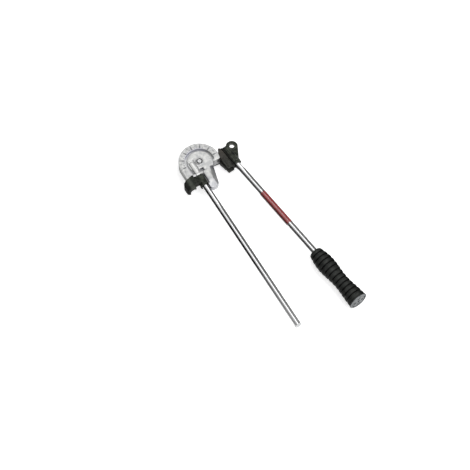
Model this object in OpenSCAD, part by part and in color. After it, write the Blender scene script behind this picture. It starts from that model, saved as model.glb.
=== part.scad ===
// Two-handed tube bender: a cast former on a fixed handle, a tube hook that swivels on that handle,
// and a lever that swings round the bend axis with a slide shoe.
// Origin: the bend axis at the middle of the tube.
// +X runs along the fixed handle, +Z out of the face with the scale.

/* [Tube and bend] */
// Outside diameter of the tube that is bent
tube_od = 12; // [9:0.5:13]
// Bend radius at the tube's centreline
bend_r = 40; // [39:0.5:46]
// Room round the tube in every groove, on the radius
groove_clear = 0.15; // [0.1:0.05:0.3]

/* [Former] */
// Metal beside the groove on each face
flange_wall = 3; // [2.5:0.25:4.5]
// Radial width of the ring that carries the scale
ring_w = 11.5; // [10:0.5:12.5]
// Radius of the hub round the pivot
hub_r = 23.5; // [22:0.5:25]
// Depth of the recess between ring and hub, on each face
recess_depth = 6.5; // [4:0.5:7]
// How far the hub's face lies below the ring's
hub_drop = 1; // [0.5:0.25:1.5]
// Straight lead-in of the groove, from the zero mark to the former's end
lead_len = 26; // [24:0.5:30]
// Where the ring ends on the lever's side, measured along the fixed handle
ring_end_x = 13; // [10:0.5:16]
// Wall that closes the recess at both ends of the ring
end_wall = 4.5; // [3:0.5:6]
// Fillet between the ring's end and the tail
neck_fillet = 8; // [4:0.5:10]
// Distance from the bend axis to the centre of the tail's round end
tail_len = 52; // [48:1:60]
// Radius of the tail's round end
tail_end_r = 11; // [10:0.5:13]
// Width of the bevel along the tail
bevel_w = 8; // [4:0.5:9]
// Drop of the bevel along the tail
bevel_drop = 5; // [3:0.5:6]

/* [Handles] */
// Outside diameter of both steel handle tubes
handle_od = 12.7; // [11:0.1:14]
// Wall of both handle tubes
handle_wall = 1.6; // [1:0.1:2.5]
// Distance from the bend axis to the fixed handle's axis
fixed_offset = 15.2; // [14.5:0.1:17]
// Distance from the bend axis to the fixed handle's far end
fixed_reach = 391; // [300:1:450]
// Depth of the fixed handle in the former
fixed_socket = 30; // [22:1:34]
// Metal round the fixed handle's socket
boss_wall = 2.25; // [2:0.05:3]
// Distance from the tube's centreline to the lever handle's axis
lever_standoff = 17; // [16.5:0.5:22]
// Angle of the lever from the handles lying parallel, at rest
lever_rest = 6.75; // [0:0.25:20]

/* [Slide and lever head] */
// Length of the slide shoe
shoe_len = 47; // [42:1:52]
// How far the shoe reaches back past the tangent point
shoe_toe = 1; // [0.5:0.5:3]
// How far the shoe's cheeks reach inside the tube's centreline
shoe_lip = 4; // [2:0.5:5]
// Shoe wall behind the groove
shoe_wall = 2.85; // [2:0.05:3]
// Gap between the shoe's cheeks and the former's rim
rim_gap = 0.5; // [0.3:0.1:1]
// Metal round the lever handle in the head's collar
collar_wall = 3.15; // [2.5:0.05:4]
// Where the lever handle's socket ends inside the head, along the lever
socket_x = 24; // [23:0.5:28]
// End of the head's collar, along the lever
head_end_x = 44.5; // [42:0.5:52]
// Diameter of the hanging eye
eye_d = 9.5; // [6:0.5:12]
// Radius of the lug round the hanging eye
eye_lug_r = 11.6; // [11:0.1:13]

/* [Pivot and arm] */
// Diameter of the pivot pin
pin_d = 8; // [6:0.5:10]
// Thickness of the swing arm
arm_t = 6; // [5:0.5:8]
// Radius of the swing arm round the pivot
arm_hub_r = 13; // [12:0.5:15]
// Thickness of the thrust washer between former and arm
thrust_t = 1.2; // [0.8:0.1:2]

/* [Tube hook] */
// Wall of the hook's collar round the fixed handle
hook_wall = 2.15; // [1.8:0.05:2.3]
// Length of the hook's collar on the fixed handle
hook_len = 19.6; // [17:0.1:22]
// Length of the hook's nose along the tube
nose_len = 23; // [19:0.5:25]
// Wall of the nose outside the tube
nose_wall = 6.4; // [4:0.2:7]
// Thickness of the ring that keeps the hook in place
stop_ring_t = 3; // [2:0.25:4]

/* [Grip and label] */
// Where the grip starts, along the lever
grip_x = 285; // [220:1:300]
// Length of the grip without its end cap
grip_len = 124; // [110:1:150]
// Radius of the grip at its start
grip_r_start = 12.6; // [11:0.1:15]
// Radius of the grip at its swell
grip_r_swell = 17.6; // [15:0.1:20]
// Radius of the grip at its waist
grip_r_waist = 14.5; // [12:0.1:17]
// Radius of the grip at its end
grip_r_end = 18; // [15:0.1:20]
// Number of grooves round the grip
groove_count = 13; // [6:1:18]
// Depth of the grooves round the grip
groove_depth = 1; // [0.5:0.1:1.5]
// Thickness of the grip's end cap
cap_t = 4; // [3:0.5:6]
// Where the label starts, along the lever
label_x = 125; // [80:1:170]
// Length of the label
label_len = 83; // [40:1:95]
// Thickness of the label
label_t = 0.15; // [0.1:0.05:0.3]

/* [Fits] */
// Running clearance on the radius of a turning fit
run_clear = 0.06; // [0.03:0.01:0.1]
// Clearance on the radius of a fixed fit
fix_clear = 0.02; // [0.01:0.01:0.04]
// Gap between faces that turn past each other
face_gap = 0.05; // [0.03:0.01:0.2]
// Gap between the hook and the former
hook_gap = 0.4; // [0.3:0.1:0.8]

/* [Hidden] */

$fn = 64;
eps = 1;                                     // overrun of every cutter
seam = 0.02;                                 // how far a flat side lies inside the rounds it joins

// Former
groove_r = tube_od / 2 + groove_clear;
half_t = tube_od / 2 + flange_wall;          // half the former's thickness
ring_in = bend_r - ring_w;
face_z = half_t - hub_drop;                  // front face of hub, tongue and tail
tail_a = asin((hub_r - tail_end_r) / tail_len);
handle_r = handle_od / 2;
handle_id = handle_od - 2 * handle_wall;
boss_r = handle_r + boss_wall;
boss_cone = 4;                               // length of the boss's tapered blind end
boss_x = lead_len - fixed_socket - boss_cone - 1;
valley = boss_r - 2.6;                       // half the width of the valley beside the boss
valley_depth = 1.2;
lip_h = 0.4;                                 // height of the end lip above the ring
hook_r = handle_r + hook_wall;
hook_x = lead_len + hook_gap;
hook_end_x = hook_x + hook_len;
pocket_y = fixed_offset - hook_r - 1;        // the tail's edge beside the hook
saddle_y = fixed_offset - handle_r - 0.35;   // the tail's edge beside the bare handle
pocket_end_x = hook_end_x + stop_ring_t + 0.8;
tip_slope_x = tail_len - 7;
tip_slope = 12;                              // slope of the tail's tip, degrees
window = [7, 7.5];                           // cored window in the tongue
window_at = [lead_len - end_wall - window.x / 2 - 0.2, -4.2];
window_depth = 5;
pad = [23, 10.5];                            // bare raised pad on the tail
pad_h = 0.8;
bar_roll_d = 5;                              // roll pin through the fixed handle
bar_roll_x = lead_len - fixed_socket / 2 - 3;

// Pivot, from the front face back
hub_boss_r = pin_d / 2 + 3.4;                // raised ring round the pin's head
hub_boss_h = 1.3;
head_cbore_d = pin_d + 4;
head_d = pin_d + 2;
head_h = 3.4;
head_seat_z = face_z + hub_boss_h + 0.4 - head_h;
arm_z = -(half_t + thrust_t + 2 * face_gap); // front face of the arm
arm_back_z = arm_z - arm_t;
hub_web = 3.3;                               // arm left under its hub recess
washer_t = 1;
clip_t = 1;
hub_recess_r = pin_d / 2 + 6;
clip_z = arm_z - hub_web - washer_t - 2 * face_gap;
pin_end_z = arm_back_z + 0.3;
clip_groove_r = pin_d / 2 - 0.6;
thrust_r = pin_d / 2 + 7;
bush_wall = 1.5;

// Lever, in its own frame: x along the handle, y out from the bend axis
head_half = -arm_z;                          // half the height of head and shoe
lever_offset = bend_r + lever_standoff;
shoe_back = bend_r + groove_r + shoe_wall;
head_x = 3;                                  // toe end of the head
head_block_end = head_end_x - 4.5;
collar_r = handle_r + collar_wall;
body_r = head_half;
eye_at = [5.5, lever_offset + 15.8];
eye_root = [head_block_end - 6, lever_offset];
eye_t = 3.4;
eye_rim = 3.4;
eye_rim_t = 4.4;
arm_end = [10, lever_offset - 1];
arm_half_w = 9;
arm_foot_r = 8;
ledge_from = [19, bend_r + 4];               // the arm's ledge behind the shoe
ledge_to = [30.5, bend_r + 5.4];
ledge_r = 8.6;
arm_screw_x = [7, 19];
arm_screw_d = 5;
arm_screw_len = arm_t + 7;
shoe_screw_x = [3.6, 13];
shoe_screw_d = 3.5;
shoe_screw_len = 9;
csk = 1.9;                                   // countersunk head over its shank
flute_y = [3, 7.5];                          // flutes on the head, from the shoe's back
flute_r = 1.1;
seam_v = 1.3;                                // depth of the vee along the joint of head and shoe
toe_cut = 8;                                 // length of the bevel inside the shoe's toe
toe_slant = 60;                              // slope of the toe's outside, degrees
toe_y = shoe_back - 4;                       // where that slope starts
lever_roll_d = 4;
lever_roll_x = (head_block_end + socket_x) / 2 + 2;
lever_end = grip_x + grip_len - 2;

// Hook, closed over the tube
nose_x = hook_x + 0.6;
nose_end_x = nose_x + nose_len;
nose_top = half_t + hook_gap + 3.1;
nose_in_y = bend_r - groove_r - 0.4;
nose_out_y = bend_r + groove_r + nose_wall;
nose_drop = tube_od / 2 - 1;
arm_x_end = hook_x + 16.1;
ramp_foot = half_t + 1;                      // the arm rises to the nose this far from the handle's axis
tab_x = lead_len - 3.7;
tab_y = ring_in - 0.4;

// Grip
swell_x = 33;
waist_x = 76;
cap_r = grip_r_end + 0.8;
spigot_len = 12;
// one land of the grip, from groove to groove: share of the pitch, share of the groove's depth
land = [[0, 1], [0.09, 0.35], [0.2, 0.08], [0.5, 0], [0.8, 0.08], [0.91, 0.35]];
pitch = grip_len / groove_count;

// The flat-sided middle of a taper between two circles
module taper2d(p1, r1, p2, r2) {
  d = norm(p2 - p1);
  a = asin((r1 - r2) / d);
  translate(p1)
    rotate(atan2(p2.y - p1.y, p2.x - p1.x))
      polygon([(r1 - seam) * [sin(a), cos(a)], [d, 0] + (r2 - seam) * [sin(a), cos(a)],
        [d, 0] + (r2 - seam) * [sin(a), -cos(a)], (r1 - seam) * [sin(a), -cos(a)]]);
}

// A round-ended taper between two circles, flat and as a plate of thickness t
module link2d(p1, r1, p2, r2) {
  translate(p1) circle(r = r1);
  translate(p2) circle(r = r2);
  taper2d(p1, r1, p2, r2);
}

module link(p1, r1, p2, r2, t) {
  translate(p1) cylinder(r = r1, h = t);
  translate(p2) cylinder(r = r2, h = t);
  linear_extrude(t) taper2d(p1, r1, p2, r2);
}

// A rectangle with round corners, centred
module rounded_rect(size, r) {
  square(size - [2 * r, 0], center = true);
  square(size - [0, 2 * r], center = true);
  for (i = [-1, 1], j = [-1, 1])
    translate([i * (size.x / 2 - r), j * (size.y / 2 - r)]) circle(r = r);
}

// A cylinder along +X from x0 to x1
module bar_x(r, x0, x1) {
  translate([x0, 0, 0]) rotate([0, 90, 0]) cylinder(r = r, h = x1 - x0);
}

// A flat ring
module washer(r_out, r_in, z0, z1) {
  translate([0, 0, z0])
    difference() {
      cylinder(r = r_out, h = z1 - z0);
      translate([0, 0, -eps]) cylinder(r = r_in, h = z1 - z0 + 2 * eps);
    }
}

// A countersunk screw whose head's top is at z = 0, pointing up
module csk_screw(d, len) {
  cylinder(r1 = d / 2 + csk, r2 = d / 2, h = csk);
  cylinder(d = d, h = len);
}

// A hole for that screw, open below
module csk_hole(d, len) {
  translate([0, 0, -eps]) cylinder(r = d / 2 + csk + fix_clear, h = eps);
  cylinder(r1 = d / 2 + csk + fix_clear, r2 = d / 2 + fix_clear, h = csk);
  cylinder(r = d / 2 + fix_clear, h = len + fix_clear);
}

// Places its children on the fixed handle's axis
module on_fixed() { translate([0, -fixed_offset, 0]) children(); }

// Places its children in the lever's frame
module on_lever() { rotate([0, 0, lever_rest]) children(); }

// Places its children on the lever handle's axis
module on_lever_handle() { on_lever() translate([0, lever_offset, 0]) children(); }

// Former: everything outside the quarter between the lead-in and the fixed handle
module round_part(r, x_end) {
  difference() {
    circle(r = r, $fn = 96);
    translate([x_end, 0]) square(r + eps);
    translate([0, -r - eps]) square(r + eps);
  }
}

module tongue2d() { link2d([0, 0], hub_r, [tail_len, 0], tail_end_r); }

module neck2d() {
  n = [sin(tail_a), cos(tail_a)];
  cx = ring_end_x + neck_fillet;
  c = [cx, (hub_r + neck_fillet - cx * n.x) / n.y];
  foot = c - (neck_fillet + eps) * n;
  difference() {
    polygon([[ring_end_x - eps, foot.y], [ring_end_x - eps, c.y], c, foot]);
    translate(c) circle(r = neck_fillet);
  }
}

module former2d() {
  round_part(bend_r, ring_end_x);
  translate([0, -bend_r]) square([lead_len, bend_r]);
  difference() {
    tongue2d();
    translate([lead_len, -hub_r - eps]) square([pocket_end_x - lead_len, hub_r + eps - pocket_y]);
    translate([pocket_end_x - eps, -hub_r - eps]) square([tail_len, hub_r + eps - saddle_y]);
  }
  neck2d();
}

module recess2d() {
  difference() {
    union() {
      round_part(ring_in, ring_end_x - end_wall);
      translate([0, -ring_in]) square([lead_len - end_wall, ring_in]);
    }
    tongue2d();
  }
}

module recesses() {
  for (s = [1, -1])
    translate([0, 0, s > 0 ? half_t - recess_depth : -half_t - eps])
      linear_extrude(recess_depth + eps) recess2d();
}

// The groove for the tube: round the ring, then straight along the lead-in
module tube_groove() {
  union() {
    rotate([0, 0, -90]) rotate_extrude(angle = -225, $fn = 96) translate([bend_r, 0]) circle(r = groove_r);
    translate([0, -bend_r, 0]) bar_x(groove_r, 0, lead_len + eps);
  }
}

// Bevels along the tail's free edge, front and back, and the sloping tip
module tail_cuts() {
  for (s = [0, 1]) mirror([0, 0, s]) {
    rotate([0, 0, -tail_a])
      translate([ring_end_x + 2, hub_r - bevel_w, s == 0 ? face_z : half_t])
        rotate([-atan(bevel_drop / bevel_w), 0, 0]) cube([2 * tail_len, 3 * bevel_w, 3 * bevel_w]);
    translate([tip_slope_x, -bend_r, s == 0 ? face_z : half_t])
      rotate([0, tip_slope, 0]) cube([bend_r, 2 * bend_r, bend_r]);
  }
}

// The boss that holds the fixed handle, with its tapered blind end
module handle_boss() {
  intersection() {
    on_fixed() {
      bar_x(boss_r, boss_x + boss_cone, lead_len);
      translate([boss_x, 0, 0]) rotate([0, 90, 0]) cylinder(r1 = boss_r - 3, r2 = boss_r, h = boss_cone);
    }
    translate([-bend_r, -bend_r, -half_t]) cube([2 * bend_r, 2 * bend_r, 3 * half_t]);
  }
}

module bend_former() {
  color("silver")
    difference() {
      union() {
        difference() {
          translate([0, 0, -half_t]) linear_extrude(2 * half_t) former2d();
          recesses();
          translate([0, 0, face_z])
            linear_extrude(hub_drop + eps) link2d([0, 0], hub_r + 2, [tail_len, 0], tail_end_r + 2);
          tail_cuts();
          translate([boss_x - 1, -fixed_offset - valley, face_z - valley_depth])
            cube([lead_len - boss_x, 2 * valley, half_t]);
        }
        handle_boss();
        cylinder(r = hub_boss_r, h = face_z + hub_boss_h);
        // lip across the former's end
        translate([lead_len - end_wall, -ring_in + 2, 0])
          cube([end_wall, ring_in - 2 - pocket_y, half_t + lip_h]);
        // bare raised pad on the tail
        translate([lead_len + pad.x / 2 - 4, 0.5, face_z - eps])
          linear_extrude(pad_h + eps) rounded_rect(pad, 2);
      }
      tube_groove();
      translate([0, 0, -half_t - eps]) cylinder(r = pin_d / 2 + fix_clear, h = 3 * half_t);
      translate([0, 0, head_seat_z]) cylinder(d = head_cbore_d, h = half_t);
      on_fixed() bar_x(handle_r + fix_clear, lead_len - fixed_socket, lead_len + eps);
      on_fixed() translate([bar_roll_x, 0, -half_t - eps])
        cylinder(r = bar_roll_d / 2 + fix_clear, h = half_t + eps + handle_r - handle_wall / 4);
      translate([window_at.x, window_at.y, face_z - window_depth])
        linear_extrude(half_t) rounded_rect(window, 1.5);
    }
}

module pivot_pin() {
  color("gainsboro")
    difference() {
      union() {
        translate([0, 0, pin_end_z]) cylinder(d = pin_d, h = head_seat_z - pin_end_z + eps);
        translate([0, 0, head_seat_z]) cylinder(d = head_d, h = head_h - 0.8);
        translate([0, 0, head_seat_z + head_h - 0.8]) cylinder(d1 = head_d, d2 = head_d - 1.6, h = 0.8);
      }
      washer(pin_d, clip_groove_r, clip_z - clip_t - face_gap, clip_z);
      // centre mark on the head
      translate([0, 0, head_seat_z + head_h - 1]) cylinder(d1 = 0.4, d2 = 2.4, h = 1.01);
    }
}

module thrust_washer() {
  z = arm_z + face_gap;
  color("darkgoldenrod") washer(thrust_r, pin_d / 2 + run_clear, z, z + thrust_t);
}

module retaining_washer() {
  z = arm_z - hub_web - face_gap;
  color("lightgray") washer(hub_recess_r - 1, pin_d / 2 + run_clear, z - washer_t, z);
}

module pivot_circlip() {
  color("dimgray")
    difference() {
      washer(pin_d / 2 + 2.2, clip_groove_r + fix_clear, clip_z - clip_t, clip_z - face_gap / 2);
      translate([0, -1.6, clip_z - 2 * clip_t]) cube([pin_d, 3.2, 3 * clip_t]);
    }
}

module fixed_handle_tube() {
  color("lightgray")
    on_fixed() difference() {
      bar_x(handle_r, lead_len - fixed_socket + 0.2, fixed_reach - 1.5);
      bar_x(handle_id / 2, lead_len - fixed_socket - eps, fixed_reach);
      translate([bar_roll_x, 0, -handle_od])
        cylinder(r = bar_roll_d / 2 + fix_clear, h = handle_od + handle_r - handle_wall / 4);
    }
}

module fixed_roll_pin() {
  z0 = -half_t + 0.4;
  z1 = handle_r - handle_wall / 4 - fix_clear;
  color("dimgray")
    on_fixed() translate([bar_roll_x, 0, z0])
      difference() {
        cylinder(d = bar_roll_d, h = z1 - z0);
        translate([0, 0, -eps]) cylinder(d = bar_roll_d - 2, h = z1 - z0 + 2 * eps);
        translate([0, -0.4, -eps]) cube([bar_roll_d, 0.8, z1 - z0 + 2 * eps]);
      }
}

module fixed_end_plug() {
  color("lightgray")
    on_fixed() {
      bar_x(handle_id / 2 - fix_clear, fixed_reach - 1.5 - spigot_len, fixed_reach - 1);
      bar_x(handle_r, fixed_reach - 1.5, fixed_reach - 0.8);
      translate([fixed_reach - 0.8, 0, 0])
        rotate([0, 90, 0]) cylinder(r1 = handle_r, r2 = handle_r - 0.8, h = 0.8);
    }
}

module hook_stop_ring() {
  color("#2b2b2b")
    on_fixed() difference() {
      bar_x(hook_r + 0.5, hook_end_x + face_gap, hook_end_x + stop_ring_t);
      bar_x(handle_r + fix_clear, hook_end_x - eps, hook_end_x + stop_ring_t + eps);
    }
}

// Hook: collar on the fixed handle, and an arm that rises to a nose over the tube
module nose2d() {
  polygon([[nose_x, -nose_in_y], [nose_x, -bend_r - 3.5], [nose_x + 0.9, -bend_r - 5.7],
    [nose_x + 4.2, -nose_out_y + 1.7], [nose_x + 8, -nose_out_y], [nose_end_x - 3.5, -nose_out_y + 0.6],
    [nose_end_x - 1, -nose_out_y + 2.2], [nose_end_x, -nose_out_y + 6], [nose_end_x, -nose_in_y - 2],
    [nose_end_x - 2, -nose_in_y]]);
}

module tab2d() {
  polygon([[tab_x, -tab_y], [tab_x + 2, -tab_y - 7.7], [nose_x + 0.9, -bend_r - 5.7],
    [nose_x + 4, -nose_in_y], [nose_x + 1, -tab_y]]);
}

module arm_side2d() {
  polygon([[-fixed_offset, -1], [-fixed_offset, hook_r], [-fixed_offset - ramp_foot, hook_r],
    [-fixed_offset - ramp_foot - 4, nose_top], [-nose_in_y - eps, nose_top], [-nose_in_y - eps, -1]]);
}

module tube_hook() {
  color("#2b2b2b")
    difference() {
      union() {
        on_fixed() bar_x(hook_r, hook_x, hook_end_x);
        translate([hook_x, 0, 0]) rotate([90, 0, 90]) linear_extrude(arm_x_end - hook_x) arm_side2d();
        translate([0, 0, -nose_drop]) linear_extrude(nose_top + nose_drop) nose2d();
        translate([0, 0, half_t + hook_gap]) linear_extrude(nose_top - half_t - hook_gap) tab2d();
      }
      on_fixed() bar_x(handle_r + run_clear, hook_x - eps, hook_end_x + eps);
      translate([0, -bend_r, 0]) bar_x(groove_r + 0.2, hook_x - eps, nose_end_x + eps);
      translate([hook_x - eps, -bend_r - groove_r - 0.2, -nose_drop - eps])
        cube([nose_len + 4, 2 * groove_r + 0.8, nose_drop + eps]);
    }
}

// Arm: a strap from the pivot to a foot behind the lever head, with a ledge behind the shoe
module swing_arm() {
  color("#242424")
    on_lever() difference() {
      translate([0, 0, arm_back_z]) {
        cylinder(r = arm_hub_r, h = arm_t);
        link([0, 0], arm_half_w, arm_end, arm_half_w, arm_t);
        link([arm_screw_x[0], arm_end.y], arm_foot_r, [arm_screw_x[1], arm_end.y], arm_foot_r, arm_t);
        link(ledge_from, ledge_r, ledge_to, ledge_r, arm_t);
      }
      translate([0, 0, arm_back_z - eps])
        cylinder(r = pin_d / 2 + bush_wall + fix_clear, h = arm_t + 2 * eps);
      translate([0, 0, arm_back_z - eps]) cylinder(r = hub_recess_r, h = arm_t - hub_web + eps);
      for (x = arm_screw_x)
        translate([x, arm_end.y, arm_back_z]) csk_hole(arm_screw_d, arm_screw_len);
    }
}

module arm_bush() {
  color("peru")
    on_lever() washer(pin_d / 2 + bush_wall, pin_d / 2 + run_clear, arm_z - hub_web, arm_z);
}

module arm_screws() {
  color("dimgray")
    on_lever() for (x = arm_screw_x)
      translate([x, arm_end.y, arm_back_z]) csk_screw(arm_screw_d, arm_screw_len);
}

module shoe_screw_places() {
  for (x = shoe_screw_x)
    translate([x, bend_r + groove_r + 0.2, 0]) rotate([-90, 0, 0]) children();
}

// A vee along the joint of head and shoe, front and back
module seam_vee() {
  side = (seam_v + eps) * sqrt(2);
  for (s = [-1, 1])
    translate([-shoe_toe - eps, shoe_back, s * (head_half + eps)])
      rotate([45, 0, 0]) translate([0, -side / 2, -side / 2]) cube([shoe_len + 2 * eps, side, side]);
}

// Everything outside the slanted toe of head and shoe
module toe_outside() {
  translate([-shoe_toe, toe_y, -head_half - eps])
    rotate([0, 0, toe_slant]) cube([14, 14, 2 * head_half + 2 * eps]);
}

// Head: D-section block, collar round the handle, and a ribbed lug with the hanging eye
module lever_head() {
  color("#2b2b2b")
    on_lever() difference() {
      union() {
        translate([head_x, 0, 0])
          rotate([90, 0, 90]) linear_extrude(head_block_end - head_x) {
            translate([shoe_back, -head_half]) square([lever_offset - shoe_back, 2 * head_half]);
            translate([lever_offset, 0]) circle(r = body_r);
          }
        // corner that carries the shoe's slant on to the block's end
        difference() {
          translate([head_x - 2.5, shoe_back, -head_half]) cube([2.5 + eps, 5, 2 * head_half]);
          toe_outside();
        }
        translate([0, lever_offset, 0]) bar_x(collar_r, head_block_end - eps, head_end_x);
        translate([0, 0, -eye_t / 2]) link(eye_at, eye_lug_r, eye_root, collar_r, eye_t);
        translate([0, 0, -eye_rim_t / 2]) {
          translate(eye_at) cylinder(r = eye_d / 2 + eye_rim, h = eye_rim_t);
          link(eye_at, 2.2, eye_root, 2, eye_rim_t);
        }
      }
      // flat seat for the shoe's back
      translate([-shoe_toe, shoe_back - collar_r, -head_half - eps])
        cube([shoe_len + 0.4, collar_r, 2 * head_half + 2 * eps]);
      for (y = flute_y, s = [-1, 1])
        translate([0, shoe_back + y, s * (head_half + flute_r / 3)])
          bar_x(flute_r, head_x - eps, head_block_end + eps);
      seam_vee();
      translate([0, lever_offset, 0]) bar_x(handle_r + fix_clear, socket_x, head_end_x + eps);
      translate([eye_at.x, eye_at.y, -head_half]) cylinder(d = eye_d, h = 2 * head_half);
      for (x = arm_screw_x)
        translate([x, arm_end.y, arm_back_z]) csk_hole(arm_screw_d, arm_screw_len);
      shoe_screw_places() csk_hole(shoe_screw_d, shoe_screw_len);
      translate([lever_roll_x, lever_offset, -head_half - eps])
        cylinder(r = lever_roll_d / 2 + fix_clear, h = head_half + eps + handle_r - handle_wall / 4);
    }
}

// Shoe: cheeks that follow the rim, and a half-round groove with flared ends
module slide_shoe() {
  y0 = bend_r - shoe_lip;
  flare = 1.2;
  color("#343434")
    on_lever() difference() {
      translate([-shoe_toe, y0, -head_half]) cube([shoe_len, shoe_back - y0, 2 * head_half]);
      translate([0, 0, -head_half - eps])
        cylinder(r = bend_r + rim_gap, h = 2 * head_half + 2 * eps, $fn = 96);
      translate([0, bend_r, 0]) {
        bar_x(groove_r, -shoe_toe - eps, shoe_len);
        translate([shoe_len - shoe_toe - 3, 0, 0])
          rotate([0, 90, 0]) cylinder(r1 = groove_r - 0.2, r2 = groove_r + flare, h = 3.01);
      }
      seam_vee();
      // toe: slanted outside, bevelled inside, with a narrow flat between
      toe_outside();
      translate([-shoe_toe, shoe_back - 4.7, -head_half - eps])
        rotate([0, 0, -29])
          translate([-3, -12, 0]) cube([3 + toe_cut / cos(29), 12, 2 * head_half + 2 * eps]);
      shoe_screw_places() csk_hole(shoe_screw_d, shoe_screw_len);
    }
}

module shoe_screws() {
  color("dimgray") on_lever() shoe_screw_places() csk_screw(shoe_screw_d, shoe_screw_len);
}

module lever_handle_tube() {
  color("lightgray")
    on_lever_handle() difference() {
      bar_x(handle_r, socket_x + 0.2, lever_end);
      bar_x(handle_id / 2, socket_x - eps, lever_end + eps);
      translate([lever_roll_x, 0, -handle_od])
        cylinder(r = lever_roll_d / 2 + fix_clear, h = handle_od + handle_r - handle_wall / 4);
    }
}

module lever_roll_pin() {
  z0 = -body_r + 0.4;
  z1 = handle_r - handle_wall / 4 - fix_clear;
  color("dimgray")
    on_lever_handle() translate([lever_roll_x, 0, z0])
      difference() {
        cylinder(d = lever_roll_d, h = z1 - z0);
        translate([0, 0, -eps]) cylinder(d = lever_roll_d - 1.6, h = z1 - z0 + 2 * eps);
        translate([0, -0.35, -eps]) cube([lever_roll_d, 0.7, z1 - z0 + 2 * eps]);
      }
}

module label_band() {
  color("#b22a2a")
    on_lever_handle() difference() {
      bar_x(handle_r + fix_clear + label_t, label_x, label_x + label_len);
      bar_x(handle_r + fix_clear, label_x - eps, label_x + label_len + eps);
    }
}

// Outer radius of the grip at x from its start: swell, waist and flared end
function wave(a, b, t) = (a + b) / 2 - (b - a) / 2 * cos(180 * t);
function grip_envelope(x) =
  x < swell_x ? grip_r_start + (grip_r_swell - grip_r_start) * sin(90 * x / swell_x) :
  x < waist_x ? wave(grip_r_swell, grip_r_waist, (x - swell_x) / (waist_x - swell_x)) :
  wave(grip_r_waist, grip_r_end, (x - waist_x) / (grip_len - waist_x));

module lever_grip() {
  color("#262626")
    on_lever_handle() translate([grip_x, 0, 0])
      rotate([0, 90, 0]) rotate_extrude()
        polygon([
          [handle_r + fix_clear, 0],
          for (i = [0 : groove_count - 1], p = land)
            let (x = (i + p[0]) * pitch) [grip_envelope(x) - p[1] * groove_depth, x],
          [grip_r_end, grip_len],
          [handle_r + fix_clear, grip_len]
        ]);
}

module grip_end_cap() {
  x0 = grip_x + grip_len;
  x1 = x0 + cap_t;
  disc_r = cap_r - 4.6;
  color("darkgray")
    on_lever_handle() difference() {
      union() {
        bar_x(handle_id / 2 - fix_clear, lever_end - spigot_len, x0 + eps);
        bar_x(cap_r, x0, x1 - 1.2);
        translate([x1 - 1.2, 0, 0])
          rotate([0, 90, 0]) cylinder(r1 = cap_r, r2 = cap_r - 1.2, h = 1.2);
      }
      // sunk face with a raised disc, and a centre dimple
      difference() {
        bar_x(cap_r - 2.4, x1 - 1.8, x1 + eps);
        bar_x(disc_r, x1 - 2, x1 - 0.6);
      }
      bar_x(2.2, x1 - 2.2, x1);
    }
}

bend_former();
pivot_pin();
thrust_washer();
retaining_washer();
pivot_circlip();
fixed_handle_tube();
fixed_roll_pin();
fixed_end_plug();
hook_stop_ring();
tube_hook();
swing_arm();
arm_bush();
arm_screws();
lever_head();
slide_shoe();
shoe_screws();
lever_handle_tube();
lever_roll_pin();
label_band();
lever_grip();
grip_end_cap();
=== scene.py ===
# %% [markdown]
# # Dressing a tube bender
# The solids of this tool come packed as a frame: a cast former on a bright handle, a black hook, and a lever with
# a shoe and a ribbed grip. This lesson sets up a studio, gives every piece its finish, stands dark cards beside
# the bright handles, and adds what is too fine for the solids: the moulded grip and its cap, the marks and
# numbers of the scale, and the sockets of two screws.

import bmesh
import bpy
import numpy as np
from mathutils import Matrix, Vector


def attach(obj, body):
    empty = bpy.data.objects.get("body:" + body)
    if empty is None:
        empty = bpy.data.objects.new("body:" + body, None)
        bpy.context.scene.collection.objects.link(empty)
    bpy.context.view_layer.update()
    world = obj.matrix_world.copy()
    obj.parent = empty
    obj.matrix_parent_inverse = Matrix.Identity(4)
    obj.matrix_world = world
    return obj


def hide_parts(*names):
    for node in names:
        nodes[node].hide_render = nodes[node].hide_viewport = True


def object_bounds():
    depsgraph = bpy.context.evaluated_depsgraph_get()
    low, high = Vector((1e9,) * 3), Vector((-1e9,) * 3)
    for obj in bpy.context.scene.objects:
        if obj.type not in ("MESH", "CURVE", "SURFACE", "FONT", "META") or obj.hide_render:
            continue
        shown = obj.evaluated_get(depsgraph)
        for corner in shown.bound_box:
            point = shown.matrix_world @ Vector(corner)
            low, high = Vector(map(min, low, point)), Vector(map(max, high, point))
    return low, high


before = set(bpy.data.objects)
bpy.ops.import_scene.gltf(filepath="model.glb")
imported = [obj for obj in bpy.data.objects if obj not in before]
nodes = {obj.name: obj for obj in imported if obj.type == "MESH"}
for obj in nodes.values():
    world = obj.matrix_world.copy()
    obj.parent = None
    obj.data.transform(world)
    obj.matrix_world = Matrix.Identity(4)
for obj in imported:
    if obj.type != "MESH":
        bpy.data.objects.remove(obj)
cad_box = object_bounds()
scene = bpy.context.scene
MM = 0.001

# %% [markdown]
# ## Where the handles lie
# Both handles are straight tubes that pass the bend axis at a distance. Most of the new pieces sit on the lever, so
# its distance and its turn at rest are written once, and each piece is worked out along X and then turned with it.
# Both could be read from the nodes' boxes, but the box of a slanting tube gives neither of them exactly.

# %% Where the handles lie
fixed_y, lever_y = -15.2 * MM, 57 * MM  # distance of each handle from the bend axis
lever_rest = np.radians(6.75)
lever_cos, lever_sin = float(np.cos(lever_rest)), float(np.sin(lever_rest))
lever_turn = np.array([[lever_cos, -lever_sin], [lever_sin, lever_cos]])
print("lever turned by", round(float(np.degrees(lever_rest)), 2), "degrees")

# %% [markdown]
# ## Camera
# The picture was taken from well above, with a long lens, so the two handles hardly converge. Azimuth, elevation
# and distance were worked out from the round former and the straight handles. The camera could aim at the
# object's middle, but placing it by its numbers keeps the picture's own framing.

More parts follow.
